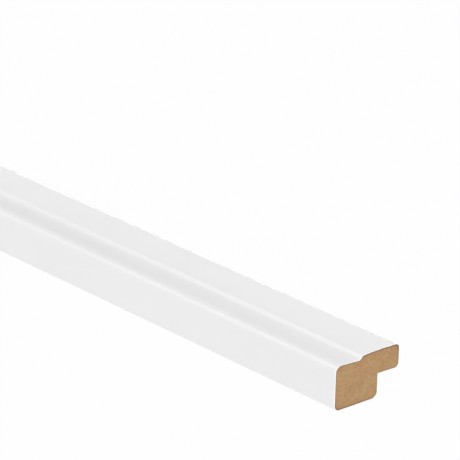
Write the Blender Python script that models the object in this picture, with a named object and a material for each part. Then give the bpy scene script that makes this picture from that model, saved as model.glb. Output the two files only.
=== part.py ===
"""A length of rebated crown moulding: one straight piece of white coated MDF, cut square.

Metres, +Z up. X runs along the length, -Y is the front face and +Y the side over which
the lip reaches. The origin is midway along the length and the width, on the underside.
"""

import math

import bmesh
import bpy

# Overall sizes
LENGTH = 0.300
SECTION_WIDTH = 0.034
SECTION_HEIGHT = 0.021

# The rebate under the lip, open to the back and below
REBATE_WIDTH = 0.0113
REBATE_HEIGHT = 0.01055
REBATE_CORNER_RADIUS = 0.0003

# Rounded long edges
TOE_RADIUS = 0.0024
HEEL_RADIUS = 0.0032
LIP_LOWER_RADIUS = 0.0025
LIP_UPPER_RADIUS = 0.0023
NOSE_RADIUS = 0.0033

# The upper land is part of a very wide arc, highest CROWN_SETBACK in from the lip's end
CROWN_RADIUS = 0.160
CROWN_SETBACK = 0.007

# The lower land behind the nose falls a little towards the step that rises to the crown
LAND_DROP = 0.0017
LAND_FALL_ANGLE = math.radians(1.5)
STEP_SETBACK = 0.0133
STEP_ANGLE = math.radians(55.0)
COVE_RADIUS = 0.0024
CREST_RADIUS = 0.0008

# How far a flat facet may lie off its arc, and how near two points are the same
FACET_SAGITTA = 0.000006
WELD_DISTANCE = 0.00001
SHARP_ANGLE = math.radians(30.0)

# The colours are linear
COAT_COLOUR = (0.80, 0.80, 0.81, 1.0)
COAT_ROUGHNESS = 0.45
CUT_MDF_COLOUR = (0.456, 0.283, 0.144, 1.0)
CUT_MDF_ROUGHNESS = 0.9

QUARTER = math.pi / 2


def clear_scene():
    """Remove every object that the scene starts with."""
    for obj in list(bpy.data.objects):
        bpy.data.objects.remove(obj, do_unlink=True)


def make_material(name, colour, roughness):
    """Return a Principled material."""
    material = bpy.data.materials.new(name)
    material.use_nodes = True
    material.diffuse_color = colour
    shader = material.node_tree.nodes["Principled BSDF"]
    shader.inputs["Base Color"].default_value = colour
    shader.inputs["Roughness"].default_value = roughness
    shader.inputs["Metallic"].default_value = 0.0
    return material


def arc(centre, radius, start, end):
    """Return the points of an arc in (across, up), from one angle to another."""
    widest = 2 * math.acos(1 - min(FACET_SAGITTA / radius, 1))
    count = max(1, math.ceil(abs(end - start) / widest))
    angles = [start + (end - start) * i / count for i in range(count + 1)]
    return [(centre[0] + radius * math.cos(a), centre[1] + radius * math.sin(a)) for a in angles]


def leg_outline():
    """Return the underside with its two rounded edges, from the front face to the rebate."""
    leg_width = SECTION_WIDTH - REBATE_WIDTH
    toe = min(TOE_RADIUS, leg_width / 2)
    heel = min(HEEL_RADIUS, leg_width / 2, REBATE_HEIGHT - REBATE_CORNER_RADIUS)
    front = arc((toe, toe), toe, 2 * QUARTER, 3 * QUARTER)
    back = arc((leg_width - heel, heel), heel, 3 * QUARTER, 4 * QUARTER)
    return front + back


def lip_outline(crown_centre):
    """Return the rebate's corner and the lip's rounded end, and the angle where it meets the crown."""
    thickness = SECTION_HEIGHT - REBATE_HEIGHT
    inner = REBATE_CORNER_RADIUS
    corner_centre = (SECTION_WIDTH - REBATE_WIDTH + inner, REBATE_HEIGHT - inner)
    corner = arc(corner_centre, inner, 2 * QUARTER, QUARTER)

    lower = min(LIP_LOWER_RADIUS, thickness / 2, REBATE_WIDTH - inner)
    lower_centre = (SECTION_WIDTH - lower, REBATE_HEIGHT + lower)
    lower_edge = arc(lower_centre, lower, 3 * QUARTER, 4 * QUARTER)

    # The upper edge touches the lip's flat end and, from inside, the crown
    upper = min(LIP_UPPER_RADIUS, thickness / 3)
    reach = CROWN_SETBACK - upper
    climb = math.sqrt((CROWN_RADIUS - upper) ** 2 - reach**2)
    upper_centre = (SECTION_WIDTH - upper, crown_centre[1] + climb)
    meets_crown = math.atan2(climb, reach)
    upper_edge = arc(upper_centre, upper, 0, meets_crown)
    return corner + lower_edge + upper_edge, meets_crown


def land_height(across):
    """Return the height of the lower land at a distance from the front face."""
    return SECTION_HEIGHT - LAND_DROP - across * math.tan(LAND_FALL_ANGLE)


def crest_centre(crown_centre):
    """Return the centre of the arc that touches the step's slope and, from inside, the crown."""
    slope = (math.cos(STEP_ANGLE), math.sin(STEP_ANGLE))
    start = (
        STEP_SETBACK + CREST_RADIUS * slope[1],
        land_height(STEP_SETBACK) - CREST_RADIUS * slope[0],
    )
    offset = (start[0] - crown_centre[0], start[1] - crown_centre[1])
    along = offset[0] * slope[0] + offset[1] * slope[1]
    inside = (CROWN_RADIUS - CREST_RADIUS) ** 2 - offset[0] ** 2 - offset[1] ** 2
    run = math.sqrt(along**2 + inside) - along
    return start[0] + run * slope[0], start[1] + run * slope[1]


def step_outline(crown_centre, crown_start):
    """Return the crown, the crest, and the cove down to the lower land."""
    crest = crest_centre(crown_centre)
    crown_end = math.atan2(crest[1] - crown_centre[1], crest[0] - crown_centre[0])
    crown = arc(crown_centre, CROWN_RADIUS, crown_start, crown_end)
    crest_edge = arc(crest, CREST_RADIUS, crown_end, QUARTER + STEP_ANGLE)

    # The cove touches the slope and the lower land, whose lines cross at STEP_SETBACK
    back_off = COVE_RADIUS * math.tan((STEP_ANGLE + LAND_FALL_ANGLE) / 2)
    touch = STEP_SETBACK - back_off * math.cos(LAND_FALL_ANGLE)
    cove_centre = (
        touch + COVE_RADIUS * math.sin(LAND_FALL_ANGLE),
        land_height(touch) + COVE_RADIUS * math.cos(LAND_FALL_ANGLE),
    )
    cove = arc(cove_centre, COVE_RADIUS, 3 * QUARTER + STEP_ANGLE, 3 * QUARTER - LAND_FALL_ANGLE)
    return crown + crest_edge + cove


def nose_outline():
    """Return the rounded edge between the lower land and the front face."""
    centre = (NOSE_RADIUS, land_height(NOSE_RADIUS) - NOSE_RADIUS / math.cos(LAND_FALL_ANGLE))
    return arc(centre, NOSE_RADIUS, QUARTER - LAND_FALL_ANGLE, 2 * QUARTER)


def section_outline():
    """Return the whole section, counter-clockwise as (across from the front face, up)."""
    crown_centre = (SECTION_WIDTH - CROWN_SETBACK, SECTION_HEIGHT - CROWN_RADIUS)
    lip, crown_start = lip_outline(crown_centre)
    points = leg_outline() + lip + step_outline(crown_centre, crown_start) + nose_outline()
    return [b for a, b in zip(points[-1:] + points, points) if math.dist(a, b) > WELD_DISTANCE]


def extrude_section(name, outline):
    """Return a filled 2D curve object that carries the outline along X, centred on the origin."""
    curve = bpy.data.curves.new(name, "CURVE")
    curve.dimensions = "2D"
    curve.fill_mode = "BOTH"
    curve.extrude = LENGTH / 2
    spline = curve.splines.new("POLY")
    spline.points.add(len(outline) - 1)
    for point, (across, up) in zip(spline.points, outline):
        point.co = (across - SECTION_WIDTH / 2, up, 0.0, 1.0)
    spline.use_cyclic_u = True
    obj = bpy.data.objects.new(name, curve)
    # The outline's own x, y and z become the world's Y, Z and X
    obj.rotation_euler = (QUARTER, 0.0, QUARTER)
    return obj


def mesh_from_curve(name, curve_object, collection):
    """Replace a curve object by a welded mesh object in the same place."""
    collection.objects.link(curve_object)
    bpy.context.view_layer.update()
    graph = bpy.context.evaluated_depsgraph_get()
    mesh = bpy.data.meshes.new_from_object(curve_object.evaluated_get(graph))
    mesh.name = name
    work = bmesh.new()
    work.from_mesh(mesh)
    bmesh.ops.remove_doubles(work, verts=work.verts, dist=WELD_DISTANCE)
    work.to_mesh(mesh)
    work.free()
    place = curve_object.matrix_world.copy()
    bpy.data.objects.remove(curve_object, do_unlink=True)
    obj = bpy.data.objects.new(name, mesh)
    obj.matrix_world = place
    collection.objects.link(obj)
    return obj


def dress(obj, coat, cut_mdf):
    """Give the long faces the white coat and the two sawn ends bare MDF."""
    mesh = obj.data
    mesh.materials.clear()
    mesh.materials.append(coat)
    mesh.materials.append(cut_mdf)
    for face in mesh.polygons:
        is_end = abs(face.normal.z) > math.cos(SHARP_ANGLE)
        face.material_index = 1 if is_end else 0
    mesh.shade_smooth()
    mesh.set_sharp_from_angle(angle=SHARP_ANGLE)


def main():
    clear_scene()
    collection = bpy.data.collections.new("rebated_crown_moulding")
    bpy.context.scene.collection.children.link(collection)
    coat = make_material("white_coat", COAT_COLOUR, COAT_ROUGHNESS)
    cut_mdf = make_material("cut_mdf", CUT_MDF_COLOUR, CUT_MDF_ROUGHNESS)
    section = extrude_section("moulding_section", section_outline())
    moulding = mesh_from_curve("moulding_length", section, collection)
    dress(moulding, coat, cut_mdf)


main()
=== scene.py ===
"""Looks of a rebated crown moulding length: white primed MDF, sawn square at both ends.

The moulding is one piece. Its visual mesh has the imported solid's section with finer arcs, but
for a slightly gentler step and a slightly tighter nose. The thickness of the primer shows as
a thin rim around each sawn end, with bare MDF inside that rim. Sizes that start from the real
thing are in millimetres, and turn to metres where they meet Blender.
"""

import logging
import math
from abc import ABC, abstractmethod
from dataclasses import dataclass, field
from enum import Enum

import bmesh
import bpy
from mathutils import Matrix, Vector, noise
from mathutils.geometry import delaunay_2d_cdt


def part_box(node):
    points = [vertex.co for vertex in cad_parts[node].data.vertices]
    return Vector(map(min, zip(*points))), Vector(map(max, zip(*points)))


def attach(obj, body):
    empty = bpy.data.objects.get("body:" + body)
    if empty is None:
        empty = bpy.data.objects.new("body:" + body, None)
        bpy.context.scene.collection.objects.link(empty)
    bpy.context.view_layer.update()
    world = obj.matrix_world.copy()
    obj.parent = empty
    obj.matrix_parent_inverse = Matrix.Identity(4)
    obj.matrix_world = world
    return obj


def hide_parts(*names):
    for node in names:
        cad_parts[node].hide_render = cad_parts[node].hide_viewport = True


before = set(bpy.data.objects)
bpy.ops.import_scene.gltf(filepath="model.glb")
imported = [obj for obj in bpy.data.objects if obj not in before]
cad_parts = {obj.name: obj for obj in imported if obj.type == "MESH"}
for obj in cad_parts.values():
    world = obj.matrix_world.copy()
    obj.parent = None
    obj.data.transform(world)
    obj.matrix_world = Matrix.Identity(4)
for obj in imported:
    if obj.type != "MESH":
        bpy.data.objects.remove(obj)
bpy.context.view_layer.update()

LOG = logging.getLogger("crown_moulding")

NODE = "moulding_length"
BODY = "root"

MM = 0.001
QUARTER = math.pi / 2

# Names that the mesh and its materials share: how deep in the MDF a point lies, how much
# primer its skin took up, and the texture map that a bake paints on
RIM_DEPTH = "rim_depth"
RIM_STAIN = "rim_stain"
BAKE_MAP = "OFBake"

# A Mix node's sockets by number, because their names repeat for its other data types
MIX_SHARE = 0
MIX_BELOW = 6
MIX_ABOVE = 7
MIX_RESULT = 2

# An inset's corner moves no further than its depth divided by this
SHARPEST_LEAN = 0.2

# How the triangulation fills an outline: only inside it, and joining points this close in mm
FILL_INSIDE = 1
JOIN_DISTANCE = 1e-7

Ring = list[bmesh.types.BMVert]


class Surface(Enum):
    """The kinds of surface on the moulding, in the order of its material slots."""

    PRIMER = 0
    PRIMER_EDGE = 1
    SAWN_MDF = 2


class Side(Enum):
    """The two sawn ends, by the direction of each along X."""

    NEAR = 1
    FAR = -1


def linear(hex_colour: str) -> tuple[float, float, float, float]:
    """Turn an sRGB hex colour to linear.

    Args:
        hex_colour: Six hex digits after a hash sign.

    Returns:
        Linear red, green and blue, and an alpha of 1.
    """
    shades = [int(hex_colour[i : i + 2], 16) / 255 for i in (1, 3, 5)]
    red, green, blue = (
        shade / 12.92 if shade <= 0.04045 else ((shade + 0.055) / 1.055) ** 2.4 for shade in shades
    )
    return red, green, blue, 1.0


def per_metre(size_mm: float) -> float:
    """Return the texture scale that gives a pattern a size in millimetres."""
    return 1.0 / (size_mm * MM)


def add_node(
    tree: bpy.types.NodeTree,
    kind: str,
    settings: dict[str | int, object] | None = None,
    links: dict[str | int, bpy.types.NodeSocket] | None = None,
) -> bpy.types.Node:
    """Add a node to a tree with its settings and incoming links.

    Args:
        tree: The tree that takes the node.
        kind: The node's type.
        settings: Values by the name or number of an input, or else by the name of a property.
        links: Output sockets by the name or number of the input that each one feeds.

    Returns:
        The new node.
    """
    node = tree.nodes.new(kind)
    for name, value in (settings or {}).items():
        if isinstance(name, int) or name in node.inputs:
            node.inputs[name].default_value = value
        else:
            setattr(node, name, value)
    for name, socket in (links or {}).items():
        tree.links.new(socket, node.inputs[name])
    return node


@dataclass(frozen=True)
class Finish(ABC):
    """What the moulding's finishes share: a fine pattern that gives each its bump and roughness."""

    name: str
    roughness: float
    roughness_swing: float
    pattern_height_mm: float
    bump_strength: float = 1.0
    # Acrylic primer and resin-bound wood fibre both lie close to this
    ior: float = 1.5

    @abstractmethod
    def patterns(
        self, tree: bpy.types.NodeTree, place: bpy.types.NodeSocket
    ) -> tuple[bpy.types.NodeSocket, bpy.types.NodeSocket]:
        """Lay out the finish's patterns.

        Args:
            tree: The material's tree.
            place: The place on the object, in metres.

        Returns:
            The colour, and the fine pattern.
        """

    def lay(
        self,
        tree: bpy.types.NodeTree,
        below: tuple | bpy.types.NodeSocket,
        tone: str,
        share: bpy.types.NodeSocket,
    ) -> bpy.types.NodeSocket:
        """Lay a tone over what is below it.

        Args:
            tree: The material's tree.
            below: A linear colour, or the socket of one.
            tone: The tone's hex colour.
            share: How much of the tone shows.

        Returns:
            The mixed colour.
        """
        settings = {"data_type": "RGBA", MIX_ABOVE: linear(tone)}
        links = {MIX_SHARE: share}
        if isinstance(below, tuple):
            settings[MIX_BELOW] = below
        else:
            links[MIX_BELOW] = below
        return add_node(tree, "ShaderNodeMix", settings, links).outputs[MIX_RESULT]

    def build(self) -> bpy.types.Material:
        """Build the material around the finish's patterns.

        Returns:
            The material.
        """
        material = bpy.data.materials.new(self.name)
        material.use_nodes = True
        tree = material.node_tree
        tree.nodes.clear()
        place = add_node(tree, "ShaderNodeTexCoord").outputs["Object"]
        colour, pattern = self.patterns(tree, place)
        roughness = add_node(
            tree,
            "ShaderNodeMapRange",
            {
                "To Min": self.roughness - self.roughness_swing,
                "To Max": self.roughness + self.roughness_swing,
            },
            {"Value": pattern},
        )
        bump = add_node(
            tree,
            "ShaderNodeBump",
            {"Strength": self.bump_strength, "Distance": self.pattern_height_mm * MM},
            {"Height": pattern},
        )
        shader = add_node(
            tree,
            "ShaderNodeBsdfPrincipled",
            {"IOR": self.ior},
            {
                "Base Color": colour,
                "Roughness": roughness.outputs["Result"],
                "Normal": bump.outputs["Normal"],
            },
        )
        add_node(tree, "ShaderNodeOutputMaterial", links={"Surface": shader.outputs[0]})
        return material


@dataclass(frozen=True)
class SprayedPrimer(Finish):
    """White water-based primer, sprayed on MDF and cured."""

    # The cured film gives the eye an even white with a satin sheen, which draws bright stripes
    # along the nose, the step and the lip
    name: str = "white_primer_sprayed"
    colour: str = "#E9E9E9"
    shade: str = "#E6E5E6"
    # Satin paint is usually 0.3 to 0.5, and the width of the stripes asks for the low end
    roughness: float = 0.3
    roughness_swing: float = 0.05
    # Droplets leave a peel of about 1 mm, which is drawn at 1.6 mm so that it still shows
    peel_mm: float = 1.6
    pattern_height_mm: float = 0.004
    # The primer lies a little thicker here and there, over a few centimetres
    cloud_mm: float = 25.0

    def patterns(
        self, tree: bpy.types.NodeTree, place: bpy.types.NodeSocket
    ) -> tuple[bpy.types.NodeSocket, bpy.types.NodeSocket]:
        """Lay out the white and its peel.

        Args:
            tree: The material's tree.
            place: The place on the object, in metres.

        Returns:
            The faintly clouded white, and the orange peel.
        """
        cloud = add_node(
            tree,
            "ShaderNodeTexNoise",
            {"Scale": per_metre(self.cloud_mm), "Detail": 2.0},
            {"Vector": place},
        )
        peel = add_node(
            tree,
            "ShaderNodeTexNoise",
            {"Scale": per_metre(self.peel_mm), "Detail": 3.0},
            {"Vector": place},
        )
        colour = self.lay(tree, linear(self.shade), self.colour, cloud.outputs["Fac"])
        return colour, peel.outputs["Fac"]


@dataclass(frozen=True)
class PrimerEdgeAndHighlight(Finish):
    """The primer's own thickness, cut by the saw, and a narrow band beside each cut. Both are drawn
    whiter than the film: partly the cut primer's own duller white, partly a painted highlight along
    the end's edges.
    """

    # Cut primer is duller than the film beside it. Its whiter colour is partly a painted highlight,
    # which draws the bright line along the end's edges
    name: str = "white_primer_cut_edge_and_painted_highlight"
    colour: str = "#F9F9F9"
    shade: str = "#F2F2F2"
    # The cut has no skin left to shine, though the blade rubs it smooth in places
    roughness: float = 0.45
    roughness_swing: float = 0.15
    # The blade leaves nicks of a few tenths of a millimetre
    nick_mm: float = 0.4
    pattern_height_mm: float = 0.01

    def patterns(
        self, tree: bpy.types.NodeTree, place: bpy.types.NodeSocket
    ) -> tuple[bpy.types.NodeSocket, bpy.types.NodeSocket]:
        """Lay out the white and its nicks.

        Args:
            tree: The material's tree.
            place: The place on the object, in metres.

        Returns:
            The white, a shade greyer in the nicks, and the nicks.
        """
        nicks = add_node(
            tree,
            "ShaderNodeTexNoise",
            {"Scale": per_metre(self.nick_mm), "Detail": 2.0},
            {"Vector": place},
        )
        colour = self.lay(tree, linear(self.shade), self.colour, nicks.outputs["Fac"])
        return colour, nicks.outputs["Fac"]


@dataclass(frozen=True)
class Fleck:
    """Flecks of another tone in the felt: none where the noise starts, full where it ends."""

    tone: str
    size_mm: float
    detail: float
    start: float
    end: float


@dataclass(frozen=True)
class SkinTone:
    """A share of the rim's dark tone, which fades inwards between two depths.

    The least is for skin that took up little primer, and the most for a full stain.
    """

    start_mm: float
    end_mm: float
    least: float
    most: float


@dataclass(frozen=True)
class SawnMdf(Finish):
    """Medium density fibreboard, sawn across."""

    # Pressed wood fibre gives the eye a matt light brown felt, flecked, and dark at its skin
    name: str = "mdf_sawn_across"
    colour: str = "#BA9469"
    rim: str = "#75502A"
    # Torn fibre is nearly as matt as felt, and the resin in it is a little smoother
    roughness: float = 0.9
    roughness_swing: float = 0.1
    # The mat was spread in lots, so that broad zones differ a little in tone. Fibre bundles,
    # 1 to 2 mm long, come darker, and some have the red of bark. Single fibres are 0.05 mm
    # thick and are drawn at 0.45 mm, so that they still show.
    zones: Fleck = Fleck("#AE855B", size_mm=7.0, detail=1.0, start=0.42, end=0.66)
    bundles: Fleck = Fleck("#A27A4E", size_mm=1.5, detail=2.0, start=0.6, end=0.28)
    bark: Fleck = Fleck("#B6885C", size_mm=2.4, detail=1.0, start=0.5, end=0.75)
    fibres: Fleck = Fleck("#C3A47A", size_mm=0.45, detail=2.0, start=0.44, end=0.74)
    pattern_height_mm: float = 0.05
    bump_strength: float = 0.6
    # Bundles lie flat in the board, and look this much longer than thick
    flatness: float = 1.5
    # Close under the primer the skin is full of resin and primer, and some millimetres further
    # in the board is still denser than at its heart
    skin_tones: tuple[SkinTone, ...] = (
        SkinTone(start_mm=0.27, end_mm=0.66, least=0.25, most=0.95),
        SkinTone(start_mm=0.2, end_mm=4.0, least=0.0, most=0.2),
    )

    def patterns(
        self, tree: bpy.types.NodeTree, place: bpy.types.NodeSocket
    ) -> tuple[bpy.types.NodeSocket, bpy.types.NodeSocket]:
        """Lay out the felt and its fibres.

        Args:
            tree: The material's tree.
            place: The place on the object, in metres.

        Returns:
            The colour of the flecked felt, dark at its skin, and the single fibres.
        """
        flat = add_node(
            tree,
            "ShaderNodeMapping",
            {"Scale": (1.0, 1.0, self.flatness)},
            {"Vector": place},
        )
        colour = linear(self.colour)
        for fleck in (self.zones, self.bundles, self.bark, self.fibres):
            pattern = add_node(
                tree,
                "ShaderNodeTexNoise",
                {"Scale": per_metre(fleck.size_mm), "Detail": fleck.detail},
                {"Vector": flat.outputs["Vector"]},
            ).outputs["Fac"]
            share = add_node(
                tree,
                "ShaderNodeMapRange",
                {"From Min": fleck.start, "From Max": fleck.end},
                {"Value": pattern},
            )
            colour = self.lay(tree, colour, fleck.tone, share.outputs["Result"])
        return self.darkened(tree, colour), pattern

    def darkened(
        self, tree: bpy.types.NodeTree, colour: bpy.types.NodeSocket
    ) -> bpy.types.NodeSocket:
        """Lay the skin's dark tones over a colour.

        Args:
            tree: The material's tree.
            colour: The felt's own colour.

        Returns:
            The darkened colour.
        """
        depth = add_node(tree, "ShaderNodeAttribute", {"attribute_name": RIM_DEPTH}).outputs["Fac"]
        stain = add_node(tree, "ShaderNodeAttribute", {"attribute_name": RIM_STAIN}).outputs["Fac"]
        for tone in self.skin_tones:
            full = add_node(
                tree,
                "ShaderNodeMapRange",
                {"To Min": tone.least, "To Max": tone.most},
                {"Value": stain},
            )
            share = add_node(
                tree,
                "ShaderNodeMapRange",
                {
                    "interpolation_type": "SMOOTHSTEP",
                    "From Min": tone.end_mm,
                    "From Max": tone.start_mm,
                },
                {"Value": depth, "To Max": full.outputs["Result"]},
            )
            colour = self.lay(tree, colour, self.rim, share.outputs["Result"])
        return colour


@dataclass(frozen=True)
class Section:
    """The moulding's outer section in millimetres, across from the front face and up.

    The names of the sizes follow the joiner's: toe and heel are the rounded edges of the
    underside, the lip reaches over the rebate, and the nose is the rounded front edge of the
    lower land, which a cove and a crest part from the slightly domed upper land.
    """

    width: float
    height: float
    rebate_width: float = 11.3
    rebate_height: float = 10.55
    rebate_corner: float = 0.3
    toe: float = 2.4
    heel: float = 3.2
    lip_lower: float = 2.5
    lip_upper: float = 2.3
    dome: float = 160.0
    dome_setback: float = 7.0
    land_drop: float = 1.7
    land_fall: float = math.radians(1.5)
    # The sheen's stripes are as wide as in the photograph with a nose and a step that differ
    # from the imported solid's by some tenths of a millimetre
    nose: float = 2.9
    step_setback: float = 12.6
    step_angle: float = math.radians(41.0)
    cove: float = 2.1
    crest: float = 0.6
    # The most that a chord leaves its arc by, and the longest that a side of the outline gets
    sagitta: float = 0.0012
    longest_side: float = 0.8

    def arc(
        self, centre: tuple[float, float], radius: float, start: float, end: float
    ) -> list[Vector]:
        """Return the points of an arc.

        Args:
            centre: The arc's centre.
            radius: The arc's radius.
            start: The angle of the first point.
            end: The angle of the last point.

        Returns:
            Points that leave the arc by no more than the sagitta between them.
        """
        widest = 2 * math.acos(1 - self.sagitta / radius)
        count = max(1, math.ceil(abs(end - start) / widest))
        angles = [start + (end - start) * i / count for i in range(count + 1)]
        return [
            Vector((centre[0] + radius * math.cos(angle), centre[1] + radius * math.sin(angle)))
            for angle in angles
        ]

    def land_height(self, across: float) -> float:
        """Return the lower land's height at a distance from the front face."""
        return self.height - self.land_drop - across * math.tan(self.land_fall)

    def leg(self) -> list[Vector]:
        """Return the toe and the heel.

        Returns:
            The points of both arcs, from the front face to the rebate's wall.
        """
        leg_width = self.width - self.rebate_width
        toe = self.arc((self.toe, self.toe), self.toe, 2 * QUARTER, 3 * QUARTER)
        heel = self.arc((leg_width - self.heel, self.heel), self.heel, 3 * QUARTER, 4 * QUARTER)
        return toe + heel

    def lip(self, dome_centre: Vector) -> tuple[list[Vector], float]:
        """Return the rebate's corner and the lip's rounded end.

        Args:
            dome_centre: The centre of the upper land's wide arc.

        Returns:
            The points, and the angle around the dome's centre at which they meet it.
        """
        corner_at = (
            self.width - self.rebate_width + self.rebate_corner,
            self.rebate_height - self.rebate_corner,
        )
        corner = self.arc(corner_at, self.rebate_corner, 2 * QUARTER, QUARTER)
        lower_at = (self.width - self.lip_lower, self.rebate_height + self.lip_lower)
        lower = self.arc(lower_at, self.lip_lower, 3 * QUARTER, 4 * QUARTER)
        reach = self.dome_setback - self.lip_upper
        climb = math.sqrt((self.dome - self.lip_upper) ** 2 - reach**2)
        meets = math.atan2(climb, reach)
        upper_at = (self.width - self.lip_upper, dome_centre.y + climb)
        return corner + lower + self.arc(upper_at, self.lip_upper, 0, meets), meets

    def step(self, dome_centre: Vector, dome_start: float) -> list[Vector]:
        """Return the upper land, the crest and the cove.

        Args:
            dome_centre: The centre of the upper land's wide arc.
            dome_start: The angle around that centre at which the land starts.

        Returns:
            The points, down to the lower land.
        """
        slope = Vector((math.cos(self.step_angle), math.sin(self.step_angle)))
        foot = Vector((self.step_setback, self.land_height(self.step_setback)))
        start = foot + self.crest * Vector((slope.y, -slope.x))
        offset = start - dome_centre
        along = offset.dot(slope)
        inner_dome = self.dome - self.crest
        run = math.sqrt(along**2 + inner_dome**2 - offset.length_squared) - along
        crest_at = start + run * slope
        dome_end = math.atan2(crest_at.y - dome_centre.y, crest_at.x - dome_centre.x)
        dome = self.arc(dome_centre, self.dome, dome_start, dome_end)
        crest = self.arc(crest_at, self.crest, dome_end, QUARTER + self.step_angle)

        back_off = self.cove * math.tan((self.step_angle + self.land_fall) / 2)
        touch = self.step_setback - back_off * math.cos(self.land_fall)
        cove_at = (
            touch + self.cove * math.sin(self.land_fall),
            self.land_height(touch) + self.cove * math.cos(self.land_fall),
        )
        cove_start = 3 * QUARTER + self.step_angle
        cove = self.arc(cove_at, self.cove, cove_start, 3 * QUARTER - self.land_fall)
        return dome + crest + cove

    def outline(self) -> list[Vector]:
        """Return the whole section, counter-clockwise from the toe.

        Returns:
            Points without repeats, none further from the next than the longest side.
        """
        dome_centre = Vector((self.width - self.dome_setback, self.height - self.dome))
        lip, dome_start = self.lip(dome_centre)
        nose_at = (self.nose, self.land_height(self.nose) - self.nose / math.cos(self.land_fall))
        nose = self.arc(nose_at, self.nose, QUARTER - self.land_fall, 2 * QUARTER)
        corners = self.leg() + lip + self.step(dome_centre, dome_start) + nose
        corners = [
            corner
            for before, corner in zip(corners[-1:] + corners, corners)
            if (before - corner).length > self.sagitta
        ]
        points = []
        for start, end in zip(corners, corners[1:] + corners[:1]):
            pieces = math.ceil((end - start).length / self.longest_side)
            points += [start.lerp(end, i / pieces) for i in range(pieces)]
        return points


def inset(outline: list[Vector], depth: float) -> list[Vector]:
    """Move each point of a closed outline inwards, square to the outline.

    Args:
        outline: A closed outline, counter-clockwise.
        depth: How far its edges move inwards.

    Returns:
        The moved points, one for each of the outline's.
    """
    moved = []
    for before, point, after in zip(outline[-1:] + outline, outline, outline[1:] + outline[:1]):
        first = (point - before).normalized()
        second = (after - point).normalized()
        inward = Vector((-first.y - second.y, first.x + second.x)).normalized()
        lean = max(SHARPEST_LEAN, inward.dot(Vector((-second.y, second.x))))
        moved.append(point + inward * (depth / lean))
    return moved


def distance_to(outline: list[Vector], point: Vector) -> float:
    """Return the distance from a point to a closed outline.

    Args:
        outline: The closed outline.
        point: The point, on either side of it.

    Returns:
        The distance to the nearest point of the outline.
    """
    nearest = math.inf
    for start, end in zip(outline, outline[1:] + outline[:1]):
        edge = end - start
        share = min(1.0, max(0.0, (point - start).dot(edge) / edge.length_squared))
        nearest = min(nearest, (start + share * edge - point).length)
    return nearest


def is_inside(outline: list[Vector], point: Vector) -> bool:
    """Return whether a point lies within a closed outline.

    Args:
        outline: The closed outline.
        point: The point.

    Returns:
        Whether a level line from the point crosses the outline an odd number of times.
    """
    inside = False
    for start, end in zip(outline, outline[1:] + outline[:1]):
        if (start.y > point.y) != (end.y > point.y):
            crossing = start.x + (point.y - start.y) / (end.y - start.y) * (end.x - start.x)
            inside ^= point.x < crossing
    return inside


@dataclass(frozen=True)
class BakeLayout:
    """Where the faces lie on the texture map, in pixels of a square sheet.

    The long faces are unrolled into one strip below, and the two sawn ends lie side by side
    above it at more than twice the scale, because they carry the finest pattern.
    """

    sheet: float = 1024.0
    gap: float = 6.0
    strip_height: float = 656.0
    band_width: float = 8.0
    end_scale: float = 14.2
    end_bottom: float = 684.0

    def along(self, share: float, band: float) -> float:
        """Return the place across the sheet of a ring on the long faces.

        Args:
            share: The ring's distance from the far end, as a share of the length.
            band: The width of the whiter band of painted highlight, as a share of the length.

        Returns:
            The place, which gives the narrow bands of painted highlight more room than their size.
        """
        inner = self.sheet - 2 * (self.gap + self.band_width)
        if share < band:
            place = self.gap + self.band_width * share / band
        elif share > 1 - band:
            place = self.sheet - self.gap - self.band_width * (1 - share) / band
        else:
            place = self.gap + self.band_width + inner * (share - band) / (1 - 2 * band)
        return place / self.sheet

    def around(self, share: float) -> float:
        """Return the place up the sheet of a share of the way around the section."""
        return (self.gap + self.strip_height * share) / self.sheet

    def end(self, side: Side, across: float, up: float, width: float) -> tuple[float, float]:
        """Return the place on the sheet of a point of a sawn end.

        Args:
            side: Which end.
            across: The point's distance from the front face, in millimetres.
            up: Its height in millimetres.
            width: The section's width.

        Returns:
            The place, with each end drawn as it is seen from outside.
        """
        if side is Side.NEAR:
            left = self.gap + across * self.end_scale
        else:
            left = self.sheet / 2 + self.gap + (width - across) * self.end_scale
        return left / self.sheet, (self.end_bottom + up * self.end_scale) / self.sheet


@dataclass(frozen=True)
class Stain:
    """A stretch of the MDF's skin that took up more primer and turned darker."""

    across: float
    up: float
    reach: float
    strength: float

    def at(self, point: Vector) -> float:
        """Return how dark the stain is at a point of the section."""
        away = (point - Vector((self.across, self.up))).length / self.reach
        return self.strength * math.exp(-(away**2))


@dataclass(frozen=True)
class Gather:
    """Primer that ran together on one side and dried thicker there, which hides more of the MDF."""

    across: float
    up: float
    reach_across: float
    reach_up: float
    inwards: tuple[float, float]

    def at(self, point: Vector) -> Vector:
        """Return how far the edge of the MDF moves at a point of the section.

        Args:
            point: The point, in millimetres across and up.

        Returns:
            The move, which fades away from the middle of the gathering.
        """
        away = Vector(
            ((point.x - self.across) / self.reach_across, (point.y - self.up) / self.reach_up)
        )
        return Vector(self.inwards) * math.exp(-away.length_squared)


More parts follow.
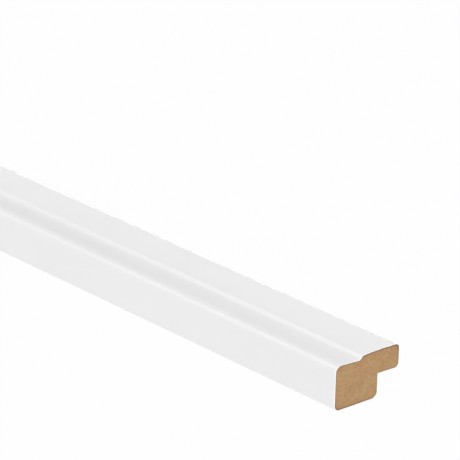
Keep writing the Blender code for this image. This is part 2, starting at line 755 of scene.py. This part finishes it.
class Draft:
    """The moulding's mesh in the making, with its texture map and the marks of its rim."""

    def __init__(self, section: Section, layout: BakeLayout) -> None:
        """Start an empty mesh.

        Args:
            section: The section, whose width centres the mesh.
            layout: Where the faces lie on the texture map.
        """
        self.section = section
        self.layout = layout
        self.mesh = bmesh.new()
        self.depth = self.mesh.verts.layers.float.new(RIM_DEPTH)
        self.stain = self.mesh.verts.layers.float.new(RIM_STAIN)
        self.map = self.mesh.loops.layers.uv.new(BAKE_MAP)

    def point(self, spot: Vector, along: float) -> bmesh.types.BMVert:
        """Add a vertex at a spot of the section, in millimetres, and a distance from the middle."""
        return self.mesh.verts.new(Vector((along, spot.x - self.section.width / 2, spot.y)) * MM)

    def ring(self, spots: list[Vector], along: float) -> Ring:
        """Add a closed ring of vertices across the length."""
        return [self.point(spot, along) for spot in spots]

    def face(
        self,
        corners: list[bmesh.types.BMVert],
        surface: Surface,
        places: list[tuple[float, float]],
    ) -> None:
        """Add a face.

        Args:
            corners: Its vertices, counter-clockwise as seen from outside.
            surface: What kind of surface it is.
            places: The place of each corner on the texture map.
        """
        face = self.mesh.faces.new(corners)
        face.material_index = surface.value
        face.smooth = True
        for loop, place in zip(face.loops, places):
            loop[self.map].uv = place

    def end_face(self, corners: list[bmesh.types.BMVert], surface: Surface, side: Side) -> None:
        """Add a face of a sawn end.

        Args:
            corners: Its vertices, counter-clockwise as seen on the near end.
            surface: What kind of surface it is.
            side: Which end.
        """
        if side is Side.FAR:
            corners = corners[::-1]
        width = self.section.width
        places = [
            self.layout.end(side, corner.co.y / MM + width / 2, corner.co.z / MM, width)
            for corner in corners
        ]
        self.face(corners, surface, places)

    def close(self, name: str) -> bpy.types.Mesh:
        """Turn the draft into a mesh.

        Args:
            name: The mesh's name.

        Returns:
            The finished mesh. The draft can't be used again.
        """
        mesh = bpy.data.meshes.new(name)
        self.mesh.to_mesh(mesh)
        self.mesh.free()
        return mesh


@dataclass
class SawnFace:
    """The pattern of points that both sawn ends share, worked out once for the section."""

    section: Section
    primer_thickness: float = 0.23
    # The primer gathered under the foot, towards the heel, and a little in the cove and on the
    # lip's end
    gathers: tuple[Gather, ...] = (
        Gather(across=20.0, up=0.0, reach_across=10.0, reach_up=2.0, inwards=(0.0, 0.3)),
        Gather(across=12.6, up=19.1, reach_across=1.2, reach_up=0.9, inwards=(0.28, -0.14)),
        Gather(across=34.0, up=15.5, reach_across=1.5, reach_up=6.0, inwards=(-0.12, 0.0)),
    )
    # The saw's corner is eased by the least touch of sandpaper
    arris: float = 0.08
    # Distance between the points of the felt
    spacing: float = 0.42
    # Rings of points this deep in the MDF carry the tones of its skin. They take every second
    # point of the rim, but none that a corner brings closer to it than the least share of its
    # depth.
    skin_depths: tuple[float, ...] = (0.14, 0.3, 0.5, 0.75)
    skin_stride: int = 2
    least_share: float = 0.985
    outline: list[Vector] = field(init=False)
    eased: list[Vector] = field(init=False)
    core: list[Vector] = field(init=False)
    spots: list[Vector] = field(init=False)
    triangles: list[list[int]] = field(init=False)
    depths: list[float] = field(init=False)

    def __post_init__(self) -> None:
        """Lay out the rings under the primer and fill the core with triangles."""
        self.outline = self.section.outline()
        self.eased = inset(self.outline, self.arris)
        self.core = [
            sum((gather.at(point) for gather in self.gathers), point)
            for point in inset(self.outline, self.primer_thickness)
        ]
        count = len(self.core)
        edges = [(i, (i + 1) % count) for i in range(count)]
        points = self.core + self.inner_points()
        filled = delaunay_2d_cdt(points, edges, [], FILL_INSIDE, JOIN_DISTANCE)
        self.spots, _, self.triangles, _, _, _ = filled
        self.depths = [distance_to(self.core, spot) for spot in self.spots]

    def inner_points(self) -> list[Vector]:
        """Lay out points inside the core.

        Returns:
            The points of the rings under its skin, and then those of a staggered grid.
        """
        found = []
        for depth in self.skin_depths:
            nearest = depth * self.least_share
            ring = inset(self.core, depth)[:: self.skin_stride]
            found += [spot for spot in ring if distance_to(self.core, spot) > nearest]
        deepest = self.skin_depths[-1] + self.spacing / 2
        for row in range(int(self.section.height / self.spacing) + 1):
            for column in range(int(self.section.width / self.spacing) + 1):
                spot = Vector((column + 0.5 * (row % 2), row)) * self.spacing
                if is_inside(self.core, spot) and distance_to(self.core, spot) > deepest:
                    found.append(spot)
        return found


@dataclass(frozen=True)
class SawnEnd:
    """One sawn end: the eased arris, the primer's cut edge and the felted face of the MDF."""

    side: Side
    face: SawnFace
    # The felt lies this much behind the primer's cut edge, and rises and falls in it
    recess: float = 0.03
    relief: float = 0.025
    # The lumps of the felt are this wide. Each further layer of them is finer by a factor, and
    # lower by that factor to a power.
    lump: float = 0.9
    lump_layers: int = 3
    finer: float = 2.0
    lower: float = 1.0
    # The noise is read this far to either side, so that the two ends differ
    apart: float = 40.0
    # The stains lie along the upper land, at the lip's tip and end, at the toe, along the
    # underside and at the nose
    stains: tuple[Stain, ...] = (
        Stain(across=18.0, up=20.5, reach=4.5, strength=0.8),
        Stain(across=26.0, up=20.8, reach=5.0, strength=0.8),
        Stain(across=32.5, up=20.0, reach=2.4, strength=0.9),
        Stain(across=34.0, up=15.5, reach=4.0, strength=0.3),
        Stain(across=1.4, up=1.2, reach=2.6, strength=0.9),
        Stain(across=8.0, up=0.2, reach=5.0, strength=0.6),
        Stain(across=17.0, up=0.2, reach=5.0, strength=0.6),
        Stain(across=4.0, up=19.2, reach=4.0, strength=0.35),
    )

    def stain_at(self, spot: Vector) -> float:
        """Return how much primer the skin took up at a spot, from 0 to 1."""
        across = spot.x if self.side is Side.NEAR else self.face.section.width - spot.x
        return min(1.0, sum(stain.at(Vector((across, spot.y))) for stain in self.stains))

    def height(self, spot: Vector) -> float:
        """Return how far the felt lies behind the end's plane at a spot.

        Args:
            spot: The spot, in millimetres across and up.

        Returns:
            The depth, which is never less than nothing.
        """
        place = Vector((spot.x, spot.y, self.side.value * self.apart)) / self.lump
        lumps = noise.fractal(place, self.lower, self.finer, self.lump_layers)
        return self.recess + self.relief * max(-1.0, min(1.0, lumps))

    def build(self, draft: Draft, last_ring: Ring, plane: float) -> None:
        """Add the end to the mesh.

        Args:
            draft: The mesh in the making.
            last_ring: The long faces' ring at this end.
            plane: The end's distance from the middle.
        """
        out = self.side.value
        eased = draft.ring(self.face.eased, out * plane)
        core = draft.ring(self.face.core, out * plane)
        count = len(core)
        # The arris and the primer's cut edge take the whiter primer edge colour, partly a painted
        # highlight along the end's edges
        for outer, inner in ((last_ring, eased), (eased, core)):
            for i in range(count):
                after = (i + 1) % count
                corners = [outer[i], outer[after], inner[after], inner[i]]
                draft.end_face(corners, Surface.PRIMER_EDGE, self.side)

        verts = list(core)
        for spot in self.face.spots[count:]:
            verts.append(draft.point(spot, out * (plane - self.height(spot))))
        for vert, spot, depth in zip(verts, self.face.spots, self.face.depths):
            vert[draft.depth] = depth
            vert[draft.stain] = self.stain_at(spot)
        for triangle in self.face.triangles:
            draft.end_face([verts[i] for i in triangle], Surface.SAWN_MDF, self.side)


@dataclass
class MouldingLength:
    """The one piece: a straight length of the section, primed all round and sawn at both ends."""

    name: str
    section: Section
    length: float
    # Distance between the rings of points along the length
    ring_spacing: float = 12.0
    # A band this wide beside each cut is drawn in the whiter primer edge colour, a painted highlight
    # along the end's edges
    painted_highlight_band: float = 0.35
    # Faces that meet at more than this are shaded with an edge between them
    sharp_angle: float = math.radians(30.0)

    def ring_places(self, reach: float) -> list[float]:
        """Return the distances from the middle of the long faces' rings.

        Args:
            reach: The distance from the middle of the outermost rings.

        Returns:
            The distances, from the near end to the far end.
        """
        inner = reach - self.painted_highlight_band
        spans = math.ceil(2 * inner / self.ring_spacing)
        return [reach] + [inner - 2 * inner * i / spans for i in range(spans + 1)] + [-reach]

    def add_long_faces(self, draft: Draft, outline: list[Vector], reach: float) -> list[Ring]:
        """Add the long faces: the primer, with a whiter band of painted highlight beside each cut.

        Args:
            draft: The mesh in the making.
            outline: The section's outline.
            reach: The distance from the middle of the outermost rings.

        Returns:
            The rings of vertices, from the near end to the far end.
        """
        places = self.ring_places(reach)
        rings = [draft.ring(outline, place) for place in places]
        sides = [(b - a).length for a, b in zip(outline, outline[1:] + outline[:1])]
        ways = [sum(sides[:i]) / sum(sides) for i in range(len(sides) + 1)]
        span = 2 * reach
        band = self.painted_highlight_band / span
        for index, (near, far) in enumerate(zip(rings, rings[1:])):
            # The outermost spans are the whiter band, a painted highlight beside each cut
            is_band = index in (0, len(rings) - 2)
            surface = Surface.PRIMER_EDGE if is_band else Surface.PRIMER
            near_u, far_u = (
                draft.layout.along(0.5 + place / span, band) for place in places[index : index + 2]
            )
            for i in range(len(outline)):
                after = (i + 1) % len(outline)
                low = draft.layout.around(ways[i])
                high = draft.layout.around(ways[i + 1])
                corners = [near[i], far[i], far[after], near[after]]
                spots = [(near_u, low), (far_u, low), (far_u, high), (near_u, high)]
                draft.face(corners, surface, spots)
        return rings

    def build(self, materials: dict[Surface, bpy.types.Material]) -> bpy.types.Object:
        """Build the piece's mesh and dress it.

        Args:
            materials: The material of each kind of surface.

        Returns:
            The piece.
        """
        face = SawnFace(self.section)
        draft = Draft(self.section, BakeLayout())
        rings = self.add_long_faces(draft, face.outline, self.length / 2 - face.arris)
        for side, ring in ((Side.NEAR, rings[0]), (Side.FAR, rings[-1])):
            SawnEnd(side, face).build(draft, ring, self.length / 2)
        mesh = draft.close(self.name)
        for surface in Surface:
            mesh.materials.append(materials[surface])
        mesh.set_sharp_from_angle(angle=self.sharp_angle)
        piece = bpy.data.objects.new(self.name, mesh)
        bpy.context.scene.collection.objects.link(piece)
        return piece


@dataclass(frozen=True)
class StudioFloor:
    """A wide sheet of white acrylic, lit from below, that the moulding lies on."""

    name: str = "studio_floor"
    half_width: float = 8.0
    # The light from below gives the eye an even white without shadow or floor line. The sheet
    # sends back little of what falls on it, so that the moulding's shadow doesn't show.
    colour: str = "#202020"
    glow: float = 0.975

    def build(self) -> bpy.types.Object:
        """Build the sheet and its material.

        Returns:
            The floor.
        """
        material = bpy.data.materials.new("white_acrylic_backlit")
        material.use_nodes = True
        tree = material.node_tree
        tree.nodes.clear()
        shader = add_node(
            tree,
            "ShaderNodeBsdfPrincipled",
            {
                "Base Color": linear(self.colour),
                "Roughness": 1.0,
                "Specular IOR Level": 0.0,
                "Emission Color": linear("#FFFFFF"),
                "Emission Strength": self.glow,
            },
        )
        add_node(tree, "ShaderNodeOutputMaterial", links={"Surface": shader.outputs[0]})
        mesh = bpy.data.meshes.new(self.name)
        half = self.half_width
        corners = [(-half, -half, 0), (half, -half, 0), (half, half, 0), (-half, half, 0)]
        mesh.from_pydata(corners, [], [(0, 1, 2, 3)])
        mesh.materials.append(material)
        floor = bpy.data.objects.new(self.name, mesh)
        bpy.context.scene.collection.objects.link(floor)
        return floor


@dataclass(frozen=True)
class Softbox:
    """A rectangular soft light that looks at the moulding.

    Its power is in watts, its distance and sides in metres and its angles in degrees. Azimuth 0
    is in front, at -Y, and turns towards +X.
    """

    name: str
    power: float
    azimuth: float
    elevation: float
    distance: float = 2.0
    width: float = 1.4
    height: float = 1.0

    def build(self, target: Vector) -> bpy.types.Object:
        """Place the light around its target.

        Args:
            target: The point that it faces.

        Returns:
            The light, which the camera doesn't see.
        """
        turn = math.radians(self.azimuth)
        climb = math.radians(self.elevation)
        away = Vector(
            (math.sin(turn) * math.cos(climb), -math.cos(turn) * math.cos(climb), math.sin(climb))
        )
        lamp = bpy.data.lights.new(self.name, "AREA")
        lamp.shape = "RECTANGLE"
        lamp.size = self.width
        lamp.size_y = self.height
        lamp.energy = self.power
        light = bpy.data.objects.new(self.name, lamp)
        light.location = target + away * self.distance
        light.rotation_euler = away.to_track_quat("Z", "Y").to_euler()
        light.visible_camera = False
        bpy.context.scene.collection.objects.link(light)
        return light


# The azimuth straight across the moulding from the camera, where level faces mirror a light
REAR = -131.3


@dataclass(frozen=True)
class Studio:
    """A white room: an even glow all round, a white backdrop and a few soft lights."""

    # The camera sees a backdrop brighter than the glow that falls on the moulding
    glow: float = 0.35
    backdrop: float = 0.99
    # The front, overhead and left lights model the faces, those at the end show the sawn MDF,
    # and the rear ones put the sheen on the lands and the lip
    softboxes: tuple[Softbox, ...] = (
        Softbox("front_softbox", 12.9, azimuth=0.0, elevation=20.0),
        Softbox("overhead_softbox", 14.8, azimuth=0.0, elevation=89.0),
        Softbox("left_softbox", 6.1, azimuth=-55.0, elevation=42.0, width=1.0),
        Softbox("end_softbox", 2.3, azimuth=88.0, elevation=6.0, distance=1.0, width=0.5, height=0.5),
        Softbox("end_lamp", 0.19, azimuth=88.0, elevation=30.0, distance=0.6, width=0.3, height=0.3),
        Softbox("rear_softbox", 6.6, REAR, elevation=27.5, distance=3.0, width=2.4, height=0.79),
        Softbox("rear_strip", 19.5, REAR, elevation=4.0, distance=3.0, width=2.4, height=0.052),
    )

    def build(self, target: Vector) -> None:
        """Light the scene.

        Args:
            target: The point that the softboxes face.
        """
        scene = bpy.context.scene
        world = bpy.data.worlds.new("white_room")
        world.use_nodes = True
        tree = world.node_tree
        tree.nodes.clear()
        rays = add_node(tree, "ShaderNodeLightPath")
        strength = add_node(
            tree,
            "ShaderNodeMapRange",
            {"To Min": self.glow, "To Max": self.backdrop},
            {"Value": rays.outputs["Is Camera Ray"]},
        )
        background = add_node(
            tree,
            "ShaderNodeBackground",
            {"Color": linear("#FFFFFF")},
            {"Strength": strength.outputs["Result"]},
        )
        add_node(tree, "ShaderNodeOutputWorld", links={"Surface": background.outputs[0]})
        scene.world = world
        scene.view_settings.view_transform = "Standard"
        for softbox in self.softboxes:
            softbox.build(target)


@dataclass(frozen=True)
class PhotoCamera:
    """The photograph's camera: a long lens that looks down along the moulding's near end.

    The place is measured in metres from the near end's front edge on the floor, and the lens
    and its sensor in millimetres. They were worked out from the vanishing points of the
    moulding's edges.
    """

    offset: tuple[float, float, float] = (1.0238, -0.9508, 0.6115)
    heading: float = math.radians(138.866)
    tilt: float = math.radians(20.999)
    roll: float = math.radians(1.413)
    lens: float = 303.87
    sensor: float = 36.0
    clip_start: float = 0.05
    clip_end: float = 50.0

    def build(self, near_edge: Vector) -> bpy.types.Object:
        """Place the camera.

        Args:
            near_edge: The near end's front edge on the floor.

        Returns:
            The camera, which is also made the scene's.
        """
        forward = Vector(
            (
                math.cos(self.heading) * math.cos(self.tilt),
                math.sin(self.heading) * math.cos(self.tilt),
                -math.sin(self.tilt),
            )
        )
        data = bpy.data.cameras.new("photo_camera")
        data.lens = self.lens
        data.sensor_width = self.sensor
        data.sensor_fit = "HORIZONTAL"
        data.clip_start = self.clip_start
        data.clip_end = self.clip_end
        camera = bpy.data.objects.new("photo_camera", data)
        level = forward.to_track_quat("-Z", "Y").to_matrix().to_4x4()
        roll = Matrix.Rotation(self.roll, 4, "Z")
        camera.matrix_world = Matrix.Translation(near_edge + Vector(self.offset)) @ level @ roll
        bpy.context.scene.collection.objects.link(camera)
        bpy.context.scene.camera = camera
        return camera


def main() -> None:
    """Build the piece, the studio and the camera."""
    logging.basicConfig(level=logging.INFO, format="%(message)s")
    low, high = (Vector(corner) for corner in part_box(NODE))
    size = (high - low) / MM
    materials = {
        Surface.PRIMER: SprayedPrimer().build(),
        Surface.PRIMER_EDGE: PrimerEdgeAndHighlight().build(),
        Surface.SAWN_MDF: SawnMdf().build(),
    }
    section = Section(width=size.y, height=size.z)
    moulding = MouldingLength("primed_moulding", section, size.x).build(materials)
    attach(moulding, BODY)
    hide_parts(NODE)
    LOG.info("%s: %d faces", moulding.name, len(moulding.data.polygons))

    floor = StudioFloor().build()
    Studio().build((low + high) / 2)
    PhotoCamera().build(Vector((high.x, low.y, low.z)))


if __name__ == "__main__":
    main()
